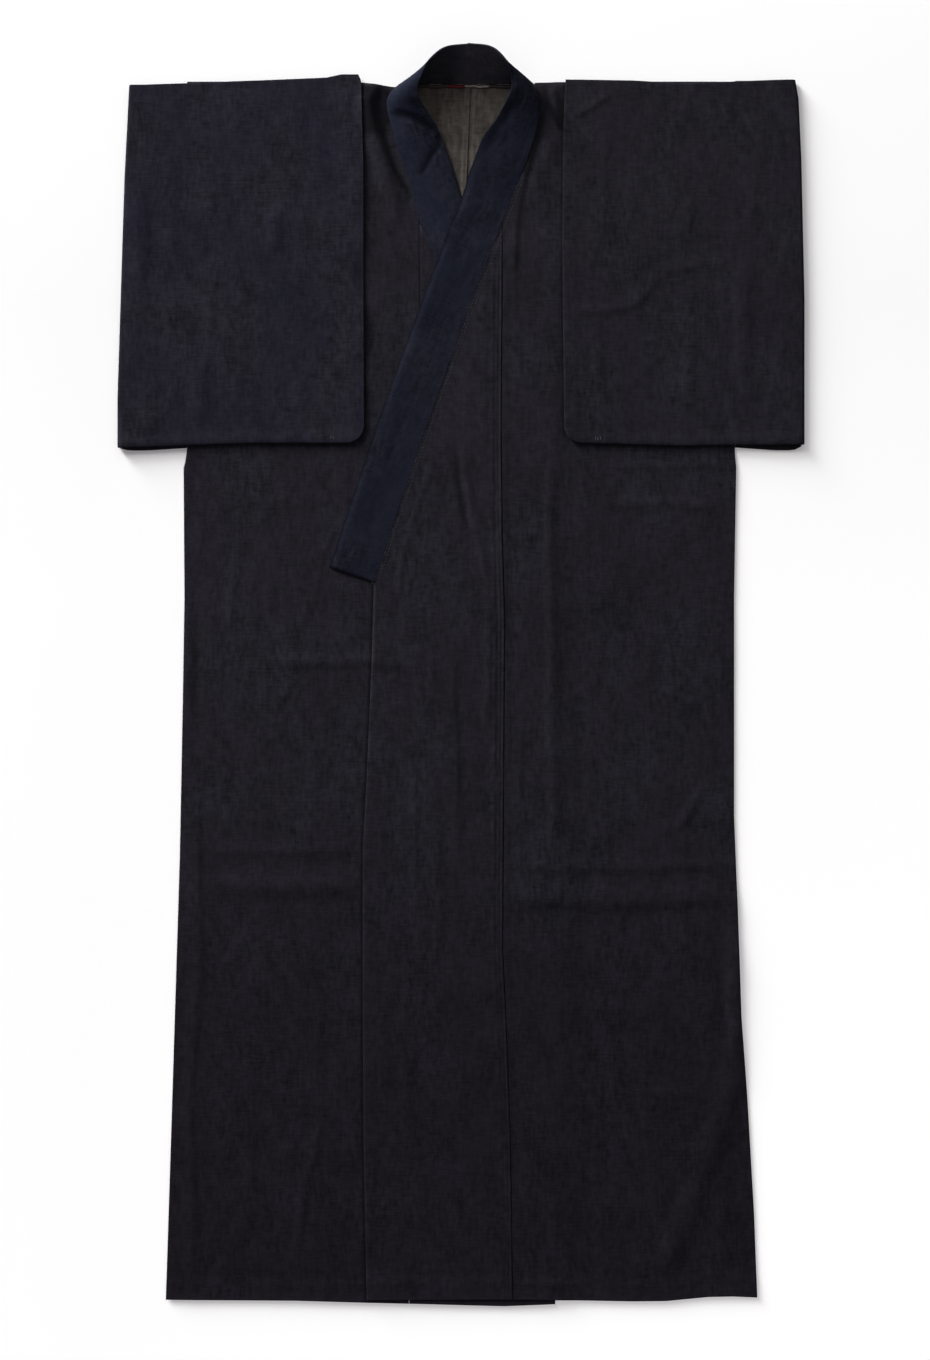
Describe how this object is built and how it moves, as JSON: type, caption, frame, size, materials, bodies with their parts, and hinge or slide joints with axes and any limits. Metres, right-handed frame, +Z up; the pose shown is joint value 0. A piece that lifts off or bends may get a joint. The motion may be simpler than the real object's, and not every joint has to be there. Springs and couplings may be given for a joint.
{
  "type": "cotton yukata robe",
  "caption": "Full-length wrap-front cotton robe in dark indigo denim, laid flat on its back with both sleeves folded in over the fronts.",
  "frame": {"origin": "middle of the robe's footprint, on the surface that it lies on", "axes": "+Y from the hem to the collar, +X towards the wearer's left sleeve, +Z up from the surface to the fronts"},
  "size_m": [0.8094, 1.477, 0.0443],
  "materials": {
    "denim": "matte",
    "collar_denim": "matte",
    "neck_tape": "matte"
  },
  "bodies": {
    "root": {"body_right": "denim", "body_left": "denim", "overlap_right": "denim", "overlap_left": "denim", "sleeve_right": "denim", "sleeve_left": "denim", "collar": "collar_denim", "neck_tape": "neck_tape"}
  },
  "joints": []
}
